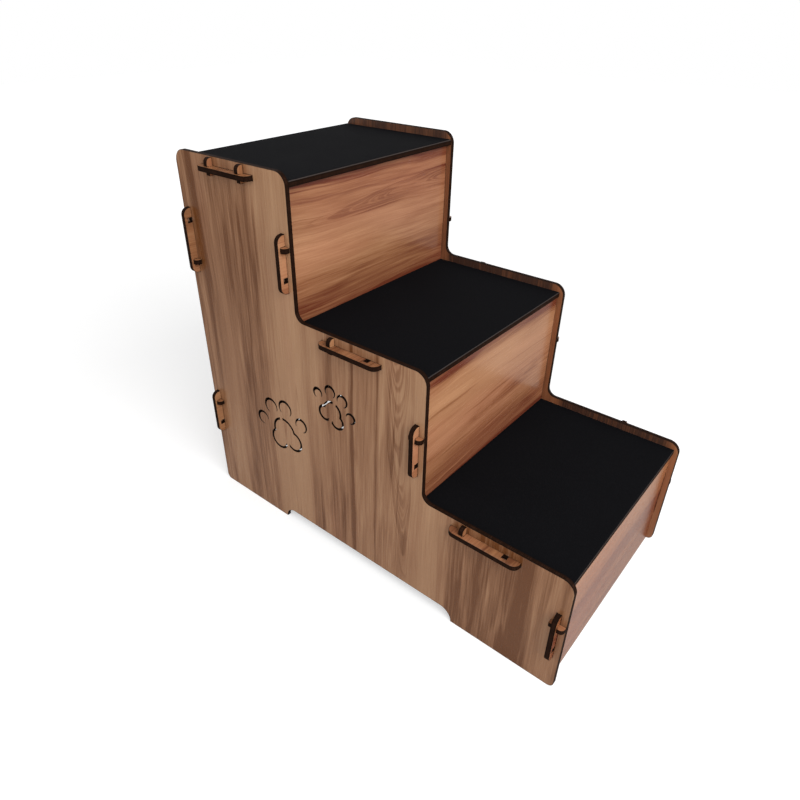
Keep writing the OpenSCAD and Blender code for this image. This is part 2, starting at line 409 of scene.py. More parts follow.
def make_mat_tree():
    """A flat mat between two corners: its upper side lies a hair uneven, its edge is round."""
    tree, given, result = new_tree(
        "GeometryNodeTree", "mat_slab",
        (("Geometry", "Geometry"), ("Low", "Vector"), ("High", "Vector"),
         ("Edge Radius", "Float", 0.0005), ("Cell", "Float", 0.004),
         ("Unevenness", "Float", 0.0001), ("Seed", "Float"), ("Rubber", "Material"),
         ("Cut Rubber", "Material")),
        (("Geometry", "Geometry"),))
    low, high, radius = given["Low"], given["High"], given["Edge Radius"]
    middle = scaled(tree, moved(tree, low, high), 0.5)
    extent = parts(tree, vector_node(tree, "SUBTRACT", high, low))
    flat = [minus(tree, extent[i], times(tree, radius, 2.0)) for i in range(2)]
    counts = [math_node(tree, "CEIL", math_node(tree, "DIVIDE", side, given["Cell"]))
              for side in flat]
    grid = add_node(tree, "GeometryNodeMeshGrid", {
        "Size X": flat[0], "Size Y": flat[1], "Vertices X": counts[0],
        "Vertices Y": counts[1]})
    up = vector_of(tree, z=times(tree, extent["Z"], 0.5))
    top = add_node(tree, "GeometryNodeTransform", {
        "Geometry": grid, "Translation": moved(tree, middle, up)})
    position = add_node(tree, "GeometryNodeInputPosition").outputs[0]
    noise = add_node(tree, "ShaderNodeTexNoise",
                     {"Vector": position, "W": given["Seed"], "Scale": 22.0, "Detail": 1.0},
                     noise_dimensions="4D")
    dip = times(tree, times(tree, noise, -1.0), given["Unevenness"])
    edged = add_node(tree, "GeometryNodeSetPosition",
                     {"Geometry": top, "Offset": vector_of(tree, z=dip)})

    # Two rings round the upper edge over to the wall, which ends on the tread
    # Outward runs from minus a half at one side of the mat to a half at the other
    outward = parts(tree, vector_node(
        tree, "DIVIDE", vector_node(tree, "SUBTRACT", position, middle),
        vector_of(tree, flat[0], flat[1], 1.0)))
    for out, down in MAT_RINGS:
        reach = times(tree, radius, 2.0 * out)
        step = vector_of(tree, times(tree, outward["X"], reach),
                         times(tree, outward["Y"], reach), times(tree, radius, -down))
        edged, _, rounded = new_ring(tree, edged, moved(tree, position, step))
    edged = mark_cut(tree, edged, rounded)
    here = parts(tree, position)
    on_tread = vector_of(tree, here["X"], here["Y"], parts(tree, low)["Z"])
    walled, _, wall = new_ring(tree, edged, on_tread)
    underside = add_node(tree, "GeometryNodeFlipFaces", {"Mesh": add_node(
        tree, "GeometryNodeSetPosition", {"Geometry": edged, "Position": on_tread})})
    closed = merged(tree, underside.outputs[0], mark_cut(tree, walled, wall))
    dress(tree, result, smooth_curves(tree, closed, MAT_CREASE), given["Rubber"],
          given["Cut Rubber"])
    return tree


def add_object(name, data):
    made = bpy.data.objects.new(name, data)
    bpy.context.scene.collection.objects.link(made)
    return made


def run_tree(tree, name, mesh, inputs):
    """A new object whose plain mesh is what the tree makes of the mesh."""
    maker = add_object(name + "_maker", mesh)
    modifier = maker.modifiers.new(tree.name, "NODES")
    modifier.node_group = tree
    sockets = {s.name: s.identifier for s in tree.interface.items_tree
               if s.item_type == "SOCKET" and s.in_out == "INPUT"}
    for label, value in inputs.items():
        modifier[sockets[label]] = value
    maker.update_tag()
    bpy.context.view_layer.update()
    ready = maker.evaluated_get(bpy.context.evaluated_depsgraph_get())
    made = bpy.data.meshes.new_from_object(ready)
    made.name = name
    bpy.data.objects.remove(maker)
    bpy.data.meshes.remove(mesh)
    return add_object(name, made)


# Shader groups: effects that several materials share

# Kinds of grain: counts per metre across and along the board, detail, roughness
GRAINS = {
    "slow_sway": (4, 1.6, 1, 0.5),
    "quick_sway": (22, 6, 3, 0.5),
    "broad_bands": (24, 1.3, 2, 0.55),
    "crowding": (15, 2.2, 1, 0.5),
    "wide_streaks": (62, 4, 4, 0.62),
    "fine_streaks": (380, 11, 2, 0.6),
    "dark_lines": (30, 0.8, 1, 0.5),
    "line_breaks": (7, 4, 2, 0.5),
    "flame_edge": (90, 14, 3, 0.6),
    "flame_swell": (26, 7, 2, 0.5),
    "flame_rings": (1, 1, 2, 0.6),
    "flame_breaks": (50, 12, 2, 0.5),
    "fibres": (900, 14, 2, 0.5),
    "pores": (1500, 60, 1, 0.5),
    "hue": (11, 3, 2, 0.5),
    "burn": (260, 260, 3, 0.6),
    "cut_lines": (2100, 2100, 2, 0.6),
    "cut_clouds": (120, 120, 2, 0.5),
}
# Eases: the limits of the value, and of what it becomes where that isn't 0 to 1
EASES = {
    "crowding": (-0.28, 0.2, 0.25, 1),
    "dark_lines": (0, 0.014, 0.3, 0),
    "line_breaks": (0.45, 0.62),
    "flame_rings": (0.01, 0.09, 1, 0),
    "flame_breaks": (0.35, 0.6, 0.3, 1),
    "flame_sides": (0.7, 2.4, 1, 0),
    "flame_tip": (-0.3, 0.2),
    "pores": (0.66, 0.78),
    "char": (0.45, 0.95),
    "toast": (0, 0.7),
    "cut_lines": (0.35, 0.75),
    "cut_clouds": (0.3, 0.7, 0.35, 1),
    "cut_heart": (0.8 * MM, 2.6 * MM, 1, 0),
    "dust": (0.4, 0.8, 0, 0.5),
}
SEED_STEP = (3.17, 7.31, 1.93)
# What each feature adds: to the grain's sway, to the tone, and to the flame's rise
QUICK_SWAY = 0.2
WIDE_STREAK, FINE_STREAK, FIBRE_TONE, PORE_TONE = 2.4, 1.4, 0.3, -0.12
FLAME_EDGE, FLAME_SWELL = 0.03, 0.12
# How far the streaks' crowding follows its own noise and the tone
CROWD_NOISE, CROWD_TONE = 0.9, -0.8
# The middles of the two kinds of streak, past which they turn light
WIDE_MIDDLE, FINE_MIDDLE = 0.51, 0.52
# The relief of the fibres, and how much duller fibres and pores are
FIBRE_HEIGHT, FIBRE_DULL, PORE_DULL = 0.5, 0.1, 0.12
GREENISH, REDDISH, HUE_SWING = (0.93, 1, 0.92), (1.06, 0.96, 1.02), 1.6


def grain(tree, place, kind):
    """A noise on the sheet, from 0 to 1, stretched along the grain."""
    across, along, detail, roughness = GRAINS[kind]
    stretched = vector_node(tree, "MULTIPLY", place, (across, along, 0.0))
    return add_node(tree, "ShaderNodeTexNoise",
                    {"Vector": stretched, "Scale": 1.0, "Detail": detail,
                     "Roughness": roughness}, noise_dimensions="2D").outputs[0]


def swing(tree, place, kind, middle=0.5):
    """The same noise, about zero."""
    return minus(tree, grain(tree, place, kind), middle)


def ease(tree, value, low, high, to_low=0.0, to_high=1.0):
    """The value, eased from one pair of limits to another."""
    return add_node(tree, "ShaderNodeMapRange",
                    {"Value": value, "From Min": low, "From Max": high, "To Min": to_low,
                     "To Max": to_high}, interpolation_type="SMOOTHSTEP").outputs[0]


def eased(tree, value, kind):
    return ease(tree, value, *EASES[kind])


def eased_grain(tree, place, kind):
    return eased(tree, grain(tree, place, kind), kind)


def mix_colours(tree, share, first, second, blend="MIX"):
    made = add_node(tree, "ShaderNodeMix", data_type="RGBA", blend_type=blend)
    feed_all(tree, made, {"Factor_Float": share, "A_Color": first, "B_Color": second})
    return find_socket(made.outputs, "Result_Color")


def seeded(tree, place, seed):
    """The place, moved to another part of the pattern by the seed."""
    return moved(tree, place, scaled(tree, SEED_STEP, seed))


def make_drift_group():
    """Lets the grain wander a little from side to side as it runs along the board."""
    tree, given, result = new_tree(
        "ShaderNodeTree", "grain_drift",
        (("Place", "Vector"), ("Drift", "Float", 0.03), ("Seed", "Float")),
        (("Place", "Vector"),))
    start = seeded(tree, given["Place"], given["Seed"])
    sway = plus(tree, swing(tree, start, "slow_sway"),
                times(tree, swing(tree, start, "quick_sway"), QUICK_SWAY))
    aside = vector_of(tree, times(tree, sway, given["Drift"]))
    feed_all(tree, result, {"Place": moved(tree, given["Place"], aside)})
    return tree


def make_print_group():
    """The printed wood: broad bands, streaks, fibres, long dark lines and a flame figure."""
    tree, given, result = new_tree(
        "ShaderNodeTree", "laminate_print",
        (("Place", "Vector"), ("Tone", "Float", 0.6), ("Variation", "Float", 0.4),
         ("Streaks", "Float", 0.4), ("Figure Place", "Vector"),
         ("Figure Width", "Float", 0.03), ("Figure Spacing", "Float", 0.05),
         ("Figure Reach", "Float", 0.11), ("Figure Tilt", "Float", 0.0),
         ("Figure", "Float", 0.0), ("Light Wood", "Color"), ("Middle Wood", "Color"),
         ("Dark Wood", "Color"), ("Tint", "Float", 0.5), ("Seed", "Float")),
        (("Color", "Color"), ("Height", "Float"), ("Roughness", "Float")))
    start = seeded(tree, given["Place"], given["Seed"])
    tone = times_plus(tree, swing(tree, start, "broad_bands"), given["Variation"],
                      given["Tone"])

    # Streaks gather in the darker bands, and the light ones stay nearly plain
    crowd = times_plus(tree, grain(tree, start, "crowding"), CROWD_NOISE,
                       times(tree, tone, CROWD_TONE))
    crowd = times(tree, eased(tree, crowd, "crowding"), given["Streaks"])
    wide = swing(tree, start, "wide_streaks", WIDE_MIDDLE)
    fine = swing(tree, start, "fine_streaks", FINE_MIDDLE)
    streaks = plus(tree, times(tree, wide, WIDE_STREAK), times(tree, fine, FINE_STREAK))
    tone = times_plus(tree, streaks, crowd, tone)
    ridge = math_node(tree, "ABSOLUTE", swing(tree, start, "dark_lines"))
    tone = minus(tree, tone, times(tree, eased(tree, ridge, "dark_lines"),
                                   eased_grain(tree, start, "line_breaks")))

    # The flame: rings whose tip points back along the grain, in a band of their own
    off = parts(tree, vector_node(tree, "SUBTRACT", given["Place"], given["Figure Place"]))
    aside = minus(tree, off["X"], times(tree, off["Y"], given["Figure Tilt"]))
    side = math_node(tree, "DIVIDE", aside, given["Figure Width"])
    square = times(tree, side, side)
    rise = minus(tree, off["Y"], times(tree, square, given["Figure Reach"]))
    rise = times_plus(tree, swing(tree, start, "flame_edge"), FLAME_EDGE, rise)
    rise = times_plus(tree, swing(tree, start, "flame_swell"), FLAME_SWELL, rise)
    rings = math_node(tree, "DIVIDE", rise, given["Figure Spacing"])
    # The rings lie unevenly, wherever a noise along them passes its middle
    wave = math_node(tree, "ABSOLUTE", swing(tree, vector_of(tree, rings), "flame_rings"))
    flame = times(tree, eased(tree, wave, "flame_rings"),
                  eased_grain(tree, start, "flame_breaks"))
    inside = times(tree, eased(tree, square, "flame_sides"),
                   eased(tree, rings, "flame_tip"))
    tone = minus(tree, tone, times(tree, times(tree, flame, inside), given["Figure"]))

    fibres = swing(tree, start, "fibres")
    pores = eased_grain(tree, start, "pores")
    tone = times_plus(tree, fibres, FIBRE_TONE, tone)
    tone = times_plus(tree, pores, PORE_TONE, tone)
    lower = mix_colours(tree, times(tree, tone, 2.0, clamp=True), given["Dark Wood"],
                        given["Middle Wood"])
    colour = mix_colours(tree, times_plus(tree, tone, 2.0, -1.0, clamp=True), lower,
                         given["Light Wood"])
    hue = times_plus(tree, grain(tree, start, "hue"), HUE_SWING,
                     minus(tree, given["Tint"], (1 + HUE_SWING) / 2), clamp=True)
    colour = mix_colours(tree, 1.0, colour, mix_colours(tree, hue, GREENISH, REDDISH),
                         "MULTIPLY")
    feed_all(tree, result, {
        "Color": colour,
        "Height": minus(tree, times(tree, fibres, FIBRE_HEIGHT), pores),
        "Roughness": times_plus(tree, pores, PORE_DULL, times(tree, fibres, FIBRE_DULL))})
    return tree


def make_burn_group():
    """How far the laser's burn has spread over a face: full at the cut, ragged inwards."""
    tree, given, result = new_tree(
        "ShaderNodeTree", "laser_burn",
        (("Burn", "Float"), ("Place", "Vector"), ("Ragged", "Float", 0.5)),
        (("Char", "Float"), ("Toast", "Float")))
    reach = times_plus(tree, swing(tree, given["Place"], "burn"), given["Ragged"],
                       given["Burn"])
    feed_all(tree, result, {
        "Char": eased(tree, reach, "char"), "Toast": eased(tree, reach, "toast")})
    return tree


GROUPS = {"grain_drift": make_drift_group, "laminate_print": make_print_group,
          "laser_burn": make_burn_group}


def place_group(tree, name, inputs):
    """Places a shader group, which is made once. Returns its outputs."""
    group = shared(bpy.data.node_groups, name, GROUPS[name])
    return add_node(tree, "ShaderNodeGroup", inputs, node_tree=group).outputs


# Materials

# Where the print on the rear of a board starts, along the grain, and how calm it is there
REAR_PRINT_START = 5.3
REAR_CALM = 0.35
WHITE = (1, 1, 1)
# Where a patch begins and ends to fade, in half widths
PATCH_EDGE = (0.45, 1.3)
# How deep the relief of each material is
LAMINATE_RELIEF, CUT_RELIEF, RUBBER_RELIEF = 0.04 * MM, 0.06 * MM, 0.12 * MM
# How much the toasted rim takes of the core's tone, and how much duller char is
TOAST_SHARE, CHAR_DULL = 0.6, 0.4
# Roughness: how far it follows the pattern, and its least
CUT_ROUGH, RUBBER_ROUGH = (0.25, 0.5), (0.12, 0.78)


def new_material(name, roughness, specular):
    """An empty material: its tree and its Principled shader."""
    material = bpy.data.materials.new(name)
    material.use_nodes = True
    tree = material.node_tree
    shader = tree.nodes["Principled BSDF"]
    feed_all(tree, shader, {"Roughness": roughness, "Specular IOR Level": specular})
    return material, tree, shader


def finish_shader(tree, shader, colour, rough, height, depth):
    """Gives the shader its colour, its roughness and a bump of that depth in metres."""
    bump = add_node(tree, "ShaderNodeBump", {"Height": height, "Distance": depth})
    feed_all(tree, shader, {"Base Color": colour, "Roughness": rough, "Normal": bump})


def attribute(tree, name):
    return add_node(tree, "ShaderNodeAttribute", attribute_name=name).outputs


def band_ramp(tree, across, bands):
    """The tone of the print's bands, by the place across the grain."""
    low, high = bands[0][0], bands[-1][0]
    ramp = tree.nodes.new("ShaderNodeValToRGB")
    stops = ramp.color_ramp
    stops.interpolation = "LINEAR"
    share = add_node(tree, "ShaderNodeMapRange", {
        "Value": across, "From Min": low * MM, "From Max": high * MM}).outputs[0]
    feed(tree, ramp.inputs[0], share)
    for i, (place, tone) in enumerate(bands):
        spot = (place - low) / (high - low)
        stop = stops.elements[i] if i < 2 else stops.elements.new(spot)
        stop.position = spot
        stop.color = (tone / 100, tone / 100, tone / 100, 1.0)
    return ramp.outputs[0]


def patch_tones(tree, place, tone, patches):
    """Adds the soft oval patches to the tone."""
    for across, along, half_width, half_length, change in patches:
        off = vector_node(tree, "SUBTRACT", place, (across * MM, along * MM, 0))
        off = vector_node(tree, "MULTIPLY", off,
                          (1 / (half_width * MM), 1 / (half_length * MM), 0))
        off = vector_node(tree, "LENGTH", off)
        tone = plus(tree, tone, ease(tree, off, *PATCH_EDGE, change / 100, 0.0))
    return tone


def make_laminate(name, bands, seed, variation=0.4, streaks=0.4,
                  figure=(0, 0, 0.03, 0.05, 0.11, 0), figure_tilt=0.0, patches=(),
                  cast=WHITE, dark_cast=WHITE, tint=0.5, drift=0.03, rear_bands=None,
                  rear_shaded_middle=None, rear_shaded_dark=None):
    """Melamine laminate printed with wood, dark along its laser-cut rims.

    The figure's numbers are its place across and along, its width, the spacing and the
    reach of its rings, and its strength."""
    finish = bpy.context.scene.stairs_finish
    material, tree, shader = new_material(name, finish.gloss, specular=0.32)
    place = attribute(tree, SHEET)["Vector"]
    burn = attribute(tree, SCORCH)["Fac"]
    # The sheet on the rear of the board carries another stretch of the print
    rear = math_node(tree, "LESS_THAN", parts(tree, place)["Z"], 0.0)
    sheet = moved(tree, place, scaled(tree, (0, REAR_PRINT_START, 0), rear))
    drifted = place_group(tree, "grain_drift", {
        "Place": sheet, "Drift": drift, "Seed": float(seed)})[0]
    across = parts(tree, drifted)["X"]
    tone = patch_tones(tree, drifted, band_ramp(tree, across, bands), patches)
    # On the right panel, these rear bands and the darker rear colours are painted shade on its
    # inner face.
    if rear_bands:
        behind = band_ramp(tree, across, rear_bands)
        tone = plus(tree, tone, times(tree, rear, minus(tree, behind, tone)))
        calm = ease(tree, rear, 0.0, 1.0, 1.0, REAR_CALM)
        variation = times(tree, calm, variation)
        streaks = times(tree, calm, streaks)
    tones = {label: tuple(c * w for c, w in zip(colour, cast)) for label, colour in (
        ("Light Wood", finish.light_wood), ("Middle Wood", finish.middle_wood),
        ("Dark Wood", finish.dark_wood))}
    tones["Dark Wood"] = tuple(c * w for c, w in zip(tones["Dark Wood"], dark_cast))
    for label, colour in (("Middle Wood", rear_shaded_middle), ("Dark Wood", rear_shaded_dark)):
        if colour:
            tones[label] = mix_colours(tree, rear, tones[label], colour)
    at_across, at_along, width, spacing, reach, strength = figure
    wood = place_group(tree, "laminate_print", {
        "Place": drifted, "Tone": tone, "Variation": variation, "Streaks": streaks,
        "Figure Place": (at_across, at_along, 0), "Figure Width": width,
        "Figure Spacing": spacing, "Figure Reach": reach, "Figure Tilt": figure_tilt,
        "Figure": strength, "Tint": tint, "Seed": float(seed), **tones})
    burnt = place_group(tree, "laser_burn", {"Burn": burn, "Place": place})
    toasted = mix_colours(tree, times(tree, burnt["Toast"], TOAST_SHARE), wood["Color"],
                          finish.core)
    colour = mix_colours(tree, burnt["Char"], toasted, finish.char)
    rough = plus(tree, wood["Roughness"], finish.gloss)
    rough = times_plus(tree, burnt["Char"], CHAR_DULL, rough)
    finish_shader(tree, shader, colour, rough, wood["Height"], LAMINATE_RELIEF)
    return material


def make_burnt_edge():
    """The wall of a laser cut: charred, with fine lines straight through the board."""
    finish = bpy.context.scene.stairs_finish
    material, tree, shader = new_material("burnt_edge", roughness=0.8, specular=0.02)
    place = attribute(tree, SHEET)["Vector"]
    lines = grain(tree, place, "cut_lines")
    depth = math_node(tree, "ABSOLUTE", parts(tree, place)["Z"])
    light = times(tree, eased(tree, lines, "cut_lines"), eased(tree, depth, "cut_heart"))
    light = times(tree, light, eased_grain(tree, place, "cut_clouds"))
    finish_shader(tree, shader, mix_colours(tree, light, finish.char, finish.core),
                  times_plus(tree, lines, *CUT_ROUGH), lines, CUT_RELIEF)
    return material


def make_rubber(name, rubber, specular):
    """Black rubber: a fine pebbled grain that hardly shines."""
    material, tree, shader = new_material(name, 0.85, specular)
    place = add_node(tree, "ShaderNodeTexCoord").outputs["Object"]
    pebble = add_node(tree, "ShaderNodeTexVoronoi", {
        "Vector": place, "Scale": 900.0}, feature="F1").outputs["Distance"]
    cloud = add_node(tree, "ShaderNodeTexNoise", {
        "Vector": place, "Scale": 14.0, "Detail": 3.0})
    dust = add_node(tree, "ShaderNodeTexNoise", {
        "Vector": place, "Scale": 420.0, "Detail": 3.0, "Roughness": 0.7})
    tone = times_plus(tree, cloud, 0.5, eased(tree, dust, "dust"))
    dark, pale = ([c * share for c in rubber] for share in (0.75, 1.3))
    finish_shader(tree, shader, mix_colours(tree, tone, dark, pale),
                  times_plus(tree, cloud, *RUBBER_ROUGH),
                  times_plus(tree, dust, 0.5, pebble), RUBBER_RELIEF)
    return material


# Bands of a print: (place across the grain in millimetres, tone from dark 0 to light 100).
# Where said at a table, bands and patches also hold painted shade.
# Patches of a print: (across, along, half width and half length in millimetres, change of
# tone). Both were placed one by one.
LEFT_PANEL_BANDS = (
    (-300, 42), (-280, 48), (-262, 58), (-243, 56), (-236, 44), (-222, 40), (-195, 42),
    (-176, 46), (-172, 28), (-167, 60), (-150, 78), (-100, 86), (-90, 70), (-87, 46),
    (-30, 44), (-13.5, 60), (-9, 0), (-4.5, 58), (12, 58), (24, 62), (28, 38), (32, 64),
    (60, 70), (85, 80), (115, 84), (135, 64), (150, 38), (190, 20), (215, 10), (245, 7),
    (262, 47), (300, 47))
LEFT_PANEL_PATCHES = (
    (-43, 290, 8, 85, -34), (-60, 240, 50, 140, 10), (-225, 30, 14, 60, -32),
    (-205, 150, 35, 120, -12), (-211, 260, 5, 70, -30), (-283, 430, 10, 170, -46),
    (-281, 250, 4, 90, -30), (-194, 410, 4, 70, -44), (-225, 400, 5, 60, -30),
    (-163, 440, 3, 70, -36), (-240, 440, 45, 100, -8), (183, 50, 6, 70, -30),
    (155, 90, 3, 50, -28), (212, 65, 4, 35, -22), (168, 80, 2, 60, 28), (231, 60, 6, 60, 20),
    (-70, 60, 4, 60, -32), (-28, 70, 4, 70, -36), (29, 200, 3, 170, -20),
    (53, 220, 2, 50, -25), (-255, 80, 12, 100, 10), (-130, 60, 30, 90, -8),
    (-72, 300, 16, 80, 18), (45, 55, 50, 60, -14), (-170, 420, 20, 70, -10),
    (-7.5, 200, 2.4, 300, -42), (225, 18, 7, 35, -36), (248, 60, 2.5, 50, -12),
    (251.5, 145, 3, 40, -12), (227.5, 110, 4, 50, -20), (162.5, 100, 7, 60, -6),
    (200, 60, 4, 60, 14), (238, 35, 12, 40, -22), (45, 300, 25, 60, 10),
    (12, 150, 30, 150, -7), (-40, 90, 30, 60, -6), (90, 100, 30, 100, -8),
    (-265, 380, 50, 140, -7))
# The right panel's inner face is painted shade: dark where the mats and treads keep light off
# it, with lighter strips where light reaches in front of each riser. The darker rear colours
# given with it are painted shade too.
RIGHT_PANEL_INNER_SHADE_BANDS = (
    (-300, 10), (-130, 5), (-109, 12), (-105, 36), (-97, 36), (-80, 0), (75, 0), (92, 50),
    (108, 50), (125, 5), (272, 5), (288, 58), (300, 58))
# The upper riser is darker towards its foot: the first stops, at the mat, are painted contact
# shade, and the rest of that darkening is partly print and partly painted shade. Its last
# stops, dark under the upper tread's nosing, are partly print and partly painted shadow.
UPPER_RISER_BANDS = (
    (339, 0), (342.5, 6), (346, 25), (360, 28), (385, 44), (398, 66), (412, 84), (425, 80),
    (435, 76), (446, 80), (460, 58), (472, 50), (483, 45), (486.5, 28), (490, 46), (498, 48),
    (503, 24), (508, 15))
# (501.5, 0, ...), dark along the top edge, is partly print and partly painted shadow under the
# nosing; (405, 110, ...) darkens the riser broadly towards its end beside the right panel.
UPPER_RISER_PATCHES = (
    (372, -90, 1.8, 60, -8), (360, 20, 1.8, 70, -22), (352, -100, 1.5, 60, 26),
    (379, -20, 1.5, 70, 24), (366, 70, 1.5, 50, 22), (391, 50, 1.8, 50, -18),
    (457, 20, 1.4, 70, -28), (501.5, 0, 2, 200, -20), (405, 110, 60, 70, -11),
    (381, -110, 12, 60, 12), (381, 0, 6, 60, -15), (387, 100, 5, 50, -15),
    (449, 100, 2.5, 70, -18), (472, -110, 8, 50, 14))
# The middle riser is darker towards its foot: the first stops, at the mat, are painted contact
# shade, and the rest of that darkening is partly print and partly painted shade.
MIDDLE_RISER_BANDS = (
    (164, 0), (167.5, 8), (171, 30), (190, 37), (225, 65), (260, 82), (279, 77), (284, 89),
    (300, 90), (308, 74), (317, 42), (323, 24), (333, 34))
MIDDLE_RISER_PATCHES = (
    (281, -100, 1.8, 60, -38), (322, -100, 4.5, 60, -34), (212, -60, 1.8, 60, -20),
    (196, 30, 1.5, 70, 20), (181, -80, 1.5, 60, 22), (247, 0, 1.8, 70, -22),
    (328, 100, 4, 40, -25), (262, -120, 3, 50, -16), (316, 110, 10, 70, -22),
    (298, 110, 14, 60, -14), (277, 0, 8, 50, 12), (290, -100, 5, 50, 16),
    (233, -100, 10, 60, 16), (182, 110, 12, 50, -12))
# The lower riser's bands are dark overall and darkest towards the bottom; the darkening at the
# bottom is partly print and partly painted shade near the floor.
LOWER_RISER_BANDS = (
    (0, 18), (45, 14), (62, 25), (76, 4), (86, 12), (100, 38), (140, 58), (158, 45))
TREAD_BANDS = ((-600, 32), (0, 34), (600, 32))
PLAIN_BANDS = ((-600, 55), (0, 60), (600, 55))

# Casts of the prints' colours, of all tones and of the dark one
PANEL_CAST = {"cast": (0.95, 1.04, 1.145), "dark_cast": (1.03, 0.91, 0.54), "tint": 0.3}
RISER_CAST = {"dark_cast": (1, 0.7, 0.75), "tint": 0.6, "drift": 0.04}
WARM = (1.03, 0.99, 1.02)


def cut_board(node, through, across, along, laminate, print_offset=(0, 0, 0)):
    """The finished board in place of a CAD node."""
    finish = bpy.context.scene.stairs_finish
    tree = shared(bpy.data.node_groups, "laser_cut_board", make_board_tree)
    edge = shared(bpy.data.materials, "burnt_edge", make_burnt_edge)
    source = frame["nodes"][node].data
    mesh = bpy.data.meshes.new(node + "_outline")
    mesh.from_pydata([v.co for v in source.vertices], [],
                     [tuple(p.vertices) for p in source.polygons])
    low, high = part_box(node)
    board = run_tree(tree, node + "_board", mesh, {
        "Across": across, "Along": along, "Through": through,
        "Middle": (low + high).dot(through) / 2,
        "Thickness": abs((high - low).dot(through)),
        "Scorch Width": finish.scorch_w, "Arris": finish.arris,
        "Print Offset": print_offset, "Laminate": laminate, "Burnt Edge": edge})
    body = next(b for b, nodes in frame["record"]["behaviour"]["bodies"].items()
                if node in nodes)
    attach(board, body)
    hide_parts(node)
    return board


class STAIRS_OT_side_panels(bpy.types.Operator):
    """Cut the two stepped side panels, with their slots and paws"""

    bl_idname = "stairs.side_panels"
    bl_label = "Side Panels"
    bl_options = {"REGISTER", "UNDO"}

    def execute(self, context):
        left = make_laminate(
            "laminate_left_panel", LEFT_PANEL_BANDS, 1, streaks=0.6,
            figure=(0.0785, 0.04, 0.018, 0.05, 0.16, 0.36), figure_tilt=-0.077,
            patches=LEFT_PANEL_PATCHES, **PANEL_CAST)
        right = make_laminate(
            "laminate_right_panel", LEFT_PANEL_BANDS, 5, streaks=0.6,
            figure=(-0.08, 0.10, 0.014, 0.07, 0.2, 0.4),
            rear_bands=RIGHT_PANEL_INNER_SHADE_BANDS, rear_shaded_middle=(0.30, 0.105, 0.050),
            rear_shaded_dark=(0.062, 0.028, 0.021), **PANEL_CAST)
        cut_board("side_panel_left", -Y, X, Z, left)
        cut_board("side_panel_right", Y, X, Z, right)
        return {"FINISHED"}


class STAIRS_OT_treads(bpy.types.Operator):
    """Cut the three treads"""

    bl_idname = "stairs.treads"
    bl_label = "Treads"
    bl_options = {"REGISTER", "UNDO"}

    def execute(self, context):
        laminate = make_laminate("laminate_treads", TREAD_BANDS, 2, variation=0.8)
        for i, tread in enumerate(TREADS):
            cut_board(tread, Z, X, Y, laminate, (0.1 * i, 0.3 * i, 0))
        return {"FINISHED"}


class STAIRS_OT_risers(bpy.types.Operator):
    """Cut the three risers and the two back boards"""

    bl_idname = "stairs.risers"
    bl_label = "Risers and Back Boards"
    bl_options = {"REGISTER", "UNDO"}

    def execute(self, context):
        lower = make_laminate(
            "laminate_riser_lower", LOWER_RISER_BANDS, 7, variation=0.25, streaks=0.2,
            cast=(1.03, 0.89, 0.76), **RISER_CAST)
        middle = make_laminate(
            "laminate_riser_middle", MIDDLE_RISER_BANDS, 8, variation=0.3, streaks=0.42,
            figure=(0.23, -0.05, 0.02, 0.08, 0.15, 0.2), patches=MIDDLE_RISER_PATCHES,
            cast=WARM, **RISER_CAST)
        upper = make_laminate(
            "laminate_riser_upper", UPPER_RISER_BANDS, 9, variation=0.3, streaks=0.42,
            figure=(0.461, -0.125, 0.02, 0.05, 0.45, 0.24), figure_tilt=0.05,
            patches=UPPER_RISER_PATCHES, cast=WARM, **RISER_CAST)
        for node, laminate in zip(RISERS, (lower, middle, upper)):
            cut_board(node, X, Z, Y, laminate)
        laminate = make_laminate("laminate_back_boards", PLAIN_BANDS, 11, variation=0.9)
        for node in BACKS:
            cut_board(node, X, Z, Y, laminate)
        return {"FINISHED"}


class STAIRS_OT_pegs(bpy.types.Operator):
    """Cut the pegs that lock the tabs outside the panels"""

    bl_idname = "stairs.pegs"
    bl_label = "Pegs"
    bl_options = {"REGISTER", "UNDO"}

    def execute(self, context):
        laminate = make_laminate("laminate_pegs", PLAIN_BANDS, 13, variation=0.9)
        for i, peg in enumerate(PEGS):
            upright = "_tread_" in peg
            through, along = (X, Z) if upright else (Z, X)
            cut_board(peg, through, Y, along, laminate,
                      (0.031 * i, 0.17 * i, 0))
        return {"FINISHED"}


class STAIRS_OT_mats(bpy.types.Operator):
    """Lay a black mat on each tread"""

    bl_idname = "stairs.mats"
    bl_label = "Mats"
    bl_options = {"REGISTER", "UNDO"}

    def execute(self, context):
        finish = context.scene.stairs_finish
        tree = make_mat_tree()
        rubber = make_rubber("mat_rubber", finish.rubber, specular=0.02)
        # The cut edges' lighter tone is partly the cut's own, partly a painted highlight along
        # the mats' rounded upper edges.
        cut_rubber_and_highlight = make_rubber("mat_cut_edge", finish.cut_rubber_and_highlight, specular=0.2)
        for i, node in enumerate(MATS):
            low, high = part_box(node)
            mat = run_tree(tree, node + "_sheet", bpy.data.meshes.new(node + "_start"), {
                "Low": low, "High": high, "Edge Radius": finish.mat_round,
                "Seed": float(i), "Rubber": rubber, "Cut Rubber": cut_rubber_and_highlight})
            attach(mat, STAIRS)
            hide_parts(node)
        return {"FINISHED"}


# The studio: each lamp's place, what it aims at and its side, in metres
KEY_LAMP = ((1.5, -0.5, 1.5), (0, 0, 0.2), 1.4)
FILL_LAMP = ((-0.5, -1.9, 1.1), (0, 0, 0.25), 1.4)
SENSOR_WIDTH = 36
# The floor's two greys, and the warmer tone that the boards' gloss mirrors
PAPER_DARK, PAPER_LIGHT = (0.60, 0.60, 0.60), (0.62, 0.62, 0.62)
MIRRORED_PAPER = (0.63, 0.57, 0.52)
# The floor's glow to the camera by the distance from the stairs, and in the gloss
GLOW_FROM, GLOW_TO = 0.5, 2.4
GLOW_NEAR, GLOW_FAR, GLOW_MIRRORED = 0.49, 0.75, 0.02


